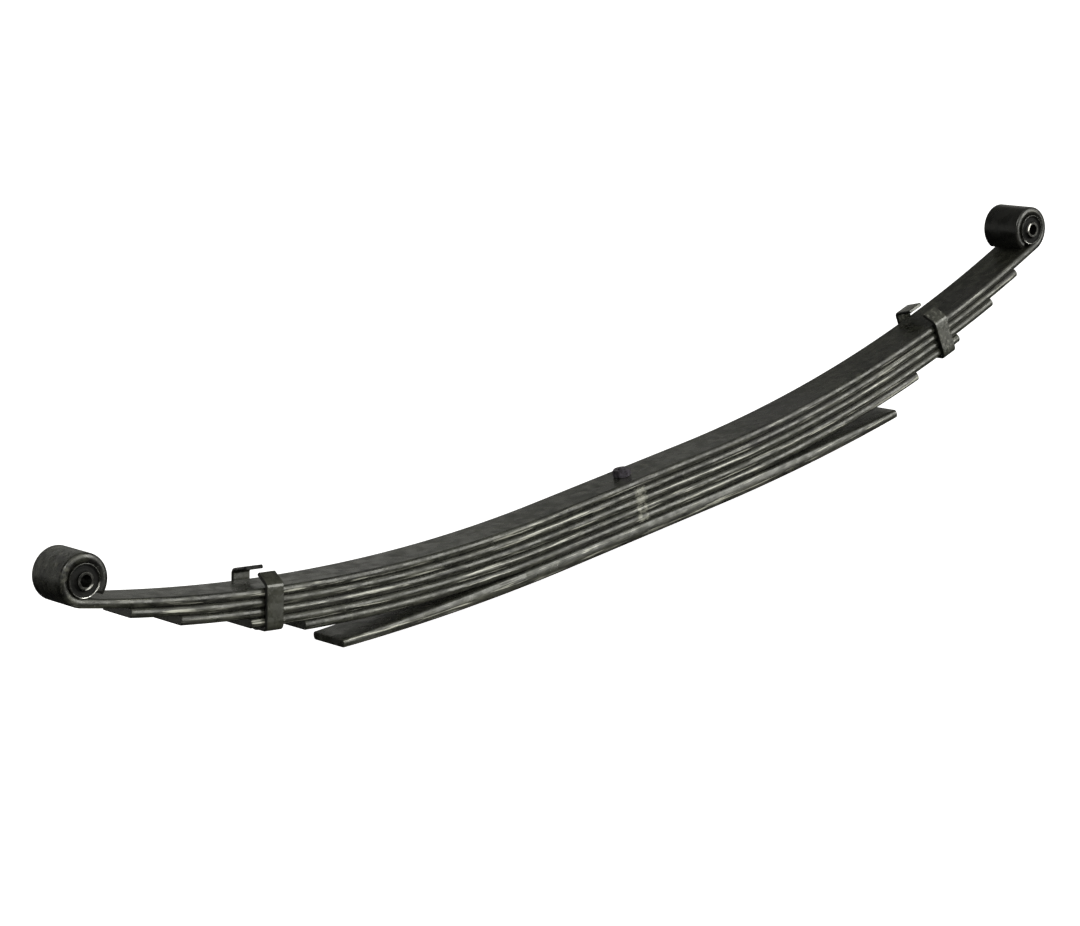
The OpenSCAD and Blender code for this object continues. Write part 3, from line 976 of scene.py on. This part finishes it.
def sleeve_metal(name, toward):
    look = Look(name)
    oxide = look.noise(190, 5, 0.6)
    color = look.mix(look.range(oxide, 0.3, 0.7), SLEEVE_DARK, SLEEVE_LIGHT)
    # partly painted highlight: bare, shiny steel on one side only
    bare_sheen = bright_side(look, toward, 7.6 * MM, 9.2 * MM)
    color = look.mix(bare_sheen, color, SLEEVE_BARE_SHEEN)
    lathe = look.noise(1, 3, 0.5, look.stretched(90, 90, 3000))
    normal = look.bump(lathe, 0.02 * MM, 0.6)
    rough = look.range(oxide, 0.3, 0.7, 0.28, 0.45)
    return look.finish(color, rough, normal, 0.8)


RUBBER_SPECULAR = 0.22


def rubber_black(name):
    look = Look(name)
    bloom = look.noise(120, 4, 0.6)
    color = look.mix(look.range(bloom, 0.45, 0.8), (0.008, 0.008, 0.008), (0.024, 0.024, 0.023))
    grain = look.noise(1800, 2, 0.5)
    normal = look.bump(grain, 0.04 * MM, 0.5)
    rough = look.range(bloom, 0.3, 0.7, 0.6, 0.8)
    look.shader.inputs["Specular IOR Level"].default_value = RUBBER_SPECULAR
    return look.finish(color, rough, normal)


def nylon(name):
    look = Look(name)
    mottled = look.noise(200, 3, 0.5)
    color = look.mix(look.range(mottled, 0.3, 0.7), (0.42, 0.39, 0.3), (0.55, 0.52, 0.42))
    normal = look.bump(look.noise(900, 2, 0.5), 0.03 * MM, 0.4)
    return look.finish(color, look.range(mottled, 0.3, 0.7, 0.42, 0.55), normal)


FLOOR_GLOW = 1.15  # enough to show plain white
FLOOR_WHITES = (0.86, 0.86, 0.86), (0.89, 0.89, 0.89)


def floor_paint(name):
    look = Look(name)
    place = look.node("ShaderNodeTexCoord")
    look.flow = place.outputs["Object"]
    faint = look.noise(2.2, 3, 0.5)
    color = look.mix(faint, *FLOOR_WHITES)
    look.join(color, look.shader.inputs["Emission Color"])
    look.shader.inputs["Emission Strength"].default_value = FLOOR_GLOW
    return look.finish(color, 0.9, None)


# ---- making the pieces ----

leaf_paint = enamel("leaf_enamel", False, LEAF_WIDTH / 2)
marked_paint = enamel("leaf_enamel_marked", True, LEAF_WIDTH / 2)
BLACK_TAB_END = 3 * MM  # of the front clip's far tab
clip_paints = {
    -1: enamel(
        "front_clip_enamel",
        False,
        STRAP_WIDTH / 2,
        dark_edged=True,
        black_from=strap_length() - BLACK_TAB_END,
    ),
    1: enamel("rear_clip_enamel", False, STRAP_WIDTH / 2, 0.3, True),
}
bolt_steel = phosphate("phosphated_steel")
# ways towards the bare, shiny side, in a bushing's own x, towards the rear, and y, down: partly
# bare steel, partly painted highlight; all towards the pack, low on the front eye and on the
# rear shell, high on the rear sleeve
FRONT_BRIGHT_SIDE = (0.62, 0.78)
REAR_SHELL_BRIGHT_SIDE = (-0.62, 0.39)
REAR_SLEEVE_BRIGHT_SIDE = (-0.6, -0.8)
shell_steels = {
    -1: shell_metal("front_shell_steel", FRONT_BRIGHT_SIDE),
    1: shell_metal("rear_shell_steel", REAR_SHELL_BRIGHT_SIDE),
}
sleeve_steels = {
    -1: sleeve_metal("front_sleeve_steel", FRONT_BRIGHT_SIDE),
    1: sleeve_metal("rear_sleeve_steel", REAR_SLEEVE_BRIGHT_SIDE),
}
bushing_rubber = rubber_black("bushing_rubber")
button_plastic = nylon("button_nylon")

# Each leaf is two meshes that meet on the rigid seat, one for each way it bends.
LEAF_NODES = ["main_leaf", "second_leaf", "third_leaf", "fourth_leaf", "fifth_leaf"]


def split_and_bend(obj, nodes, front_end, rear_end):
    """Cuts a leaf across the middle of its seat into a front and a rear half."""
    base = obj.name
    front = obj.copy()
    front.data = obj.data.copy()
    bpy.context.scene.collection.objects.link(front)
    for side, half, end in ((-1, front, front_end), (1, obj, rear_end)):
        cut_half(half, side)
        tag = tag_of(side)
        half.name = base + "_" + tag
        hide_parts(*nodes)
        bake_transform(half)


def cut_half(obj, side):
    """Keeps one side of a leaf and closes the cut with a sharp rim."""
    mesh = bmesh.new()
    mesh.from_mesh(obj.data)
    bmesh.ops.bisect_plane(
        mesh,
        geom=mesh.verts[:] + mesh.edges[:] + mesh.faces[:],
        plane_co=(0, 0, 0),
        plane_no=(side, 0, 0),
        clear_inner=True,
        dist=1e-6,
    )
    rim = [e for e in mesh.edges if e.is_boundary]
    bmesh.ops.contextual_create(mesh, geom=rim)
    for edge in rim:
        edge.smooth = False
    mesh.to_mesh(obj.data)
    mesh.free()
    obj.data.update()


pack_of_leaves = [main_leaf(leaf_paint)]
pack_of_leaves += [plain_leaf(n, marked_paint) for n in range(1, 5)]
for leaf, node in zip(pack_of_leaves, LEAF_NODES):
    split_and_bend(leaf, [node], FRONT_BEND_END, REAR_BEND_END)
split_and_bend(
    overload_leaf(leaf_paint), ["overload_leaf"], -OVERLOAD_BEND_END, OVERLOAD_BEND_END
)

for side, tag, end in ((-1, "front", FRONT_BEND_END), (1, "rear", REAR_BEND_END)):
    strap = clip(side, clip_paints[side])
    rivet = clip_rivet(side, clip_paints[side])
    buttons = tip_buttons(side, button_plastic)
    for obj, node in (
        (strap, "_clip"),
        (rivet, "_clip_rivet"),
        (buttons, "_tip_buttons"),
    ):
        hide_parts(tag + node)
        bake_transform(obj)
    bushing(side, shell_steels[side], bushing_rubber, sleeve_steels[side])

centre_bolt(bolt_steel)
centre_nut(bolt_steel)

# ---- floor, light and camera ----

FLOOR_LEVEL = cad_box[0].z - 0.2 * MM
FLOOR_HALF = 40.0

LIGHT_TINT = (1, 1, 0.93)
# height on the unit sphere and brightness there, from below upwards
WORLD_BANDS = [(-0.16, 0.015), (0.08, 0.36), (0.26, 0.31), (0.5, 0.1), (0.95, 0.12)]
# name, azimuth, elevation, strength, angle
LAMPS = [
    ("overhead", 30, 62, 0.35, 60),
    ("key", 40, 4, 2.3, 35),
    ("fill", -13, 28, 0.9, 18),
    ("back", 178, 6, 0.4, 50),
]

CAMERA_AZIMUTH, CAMERA_ELEVATION, CAMERA_ROLL = -37.85, 16.77, -8.87
CAMERA_AIM = Vector((-74.2 * MM, 73.4 * MM, 110.8 * MM))
CAMERA_DISTANCE = 4195.7 * MM
CAMERA_LENS, CAMERA_SENSOR = 106.73, 36  # focal length and sensor width, in Blender's mm
CAMERA_NEAR, CAMERA_FAR = 0.1, 200


def way_back(azimuth, elevation):
    """Way from the spring to a camera or lamp. Azimuth 0 is at -Y, and 90 at +X."""
    a, e = math.radians(azimuth), math.radians(elevation)
    return Vector((math.sin(a) * math.cos(e), -math.cos(a) * math.cos(e), math.sin(e)))


def make_floor():
    """A floor that shows plain white and throws no light at the spring."""
    corners = [(-1, -1), (1, -1), (1, 1), (-1, 1)]
    points = [(x * FLOOR_HALF, y * FLOOR_HALF, FLOOR_LEVEL) for x, y in corners]
    mesh = bpy.data.meshes.new("floor")
    mesh.from_pydata(points, [], [(0, 1, 2, 3)])
    mesh.materials.append(floor_paint("floor_paint"))
    obj = bpy.data.objects.new("floor", mesh)
    bpy.context.scene.collection.objects.link(obj)
    obj.visible_diffuse = False
    obj.visible_glossy = False


def sun(name, azimuth, elevation, strength, angle):
    """A soft distant lamp. azimuth and elevation say where it shines from."""
    data = bpy.data.lights.new(name, "SUN")
    data.energy, data.angle, data.color = strength, math.radians(angle), LIGHT_TINT
    obj = bpy.data.objects.new(name, data)
    obj.rotation_mode = "QUATERNION"
    obj.rotation_quaternion = way_back(azimuth, elevation).to_track_quat("Z", "Y")
    bpy.context.scene.collection.objects.link(obj)


def make_world():
    """A room that is dark below, brightest along the horizon and dim overhead."""
    world = bpy.data.worlds.new("studio")
    world.use_nodes = True
    tree = world.node_tree
    place = tree.nodes.new("ShaderNodeTexCoord")
    split = tree.nodes.new("ShaderNodeSeparateXYZ")
    share = tree.nodes.new("ShaderNodeMapRange")
    share.inputs["From Min"].default_value = -1.0
    ramp = tree.nodes.new("ShaderNodeValToRGB")
    ramp.color_ramp.interpolation = "EASE"
    stops = ramp.color_ramp.elements
    while len(stops) < len(WORLD_BANDS):
        stops.new(0.5)
    for stop, (height, level) in zip(stops, WORLD_BANDS):
        stop.position = (height + 1) / 2
        stop.color = (level, level, level * LIGHT_TINT[2], 1)
    tree.links.new(place.outputs["Generated"], split.inputs[0])
    tree.links.new(split.outputs[2], share.inputs["Value"])
    tree.links.new(share.outputs["Result"], ramp.inputs["Fac"])
    tree.links.new(ramp.outputs["Color"], tree.nodes["Background"].inputs["Color"])
    bpy.context.scene.world = world


def make_camera():
    back = way_back(CAMERA_AZIMUTH, CAMERA_ELEVATION)
    a, r = math.radians(CAMERA_AZIMUTH), math.radians(CAMERA_ROLL)
    level = Vector((math.cos(a), math.sin(a), 0))
    upright = back.cross(level)
    right = level * math.cos(r) + upright * math.sin(r)
    up = upright * math.cos(r) - level * math.sin(r)
    data = bpy.data.cameras.new("camera")
    data.lens, data.sensor_width = CAMERA_LENS, CAMERA_SENSOR
    data.clip_start, data.clip_end = CAMERA_NEAR, CAMERA_FAR
    obj = bpy.data.objects.new("camera", data)
    obj.matrix_world = matrix_of(right, up, back, CAMERA_AIM + back * CAMERA_DISTANCE)
    bpy.context.scene.collection.objects.link(obj)
    bpy.context.scene.camera = obj


make_floor()
make_world()
for lamp in LAMPS:
    sun(*lamp)
make_camera()
bpy.context.scene.view_settings.view_transform = "Standard"
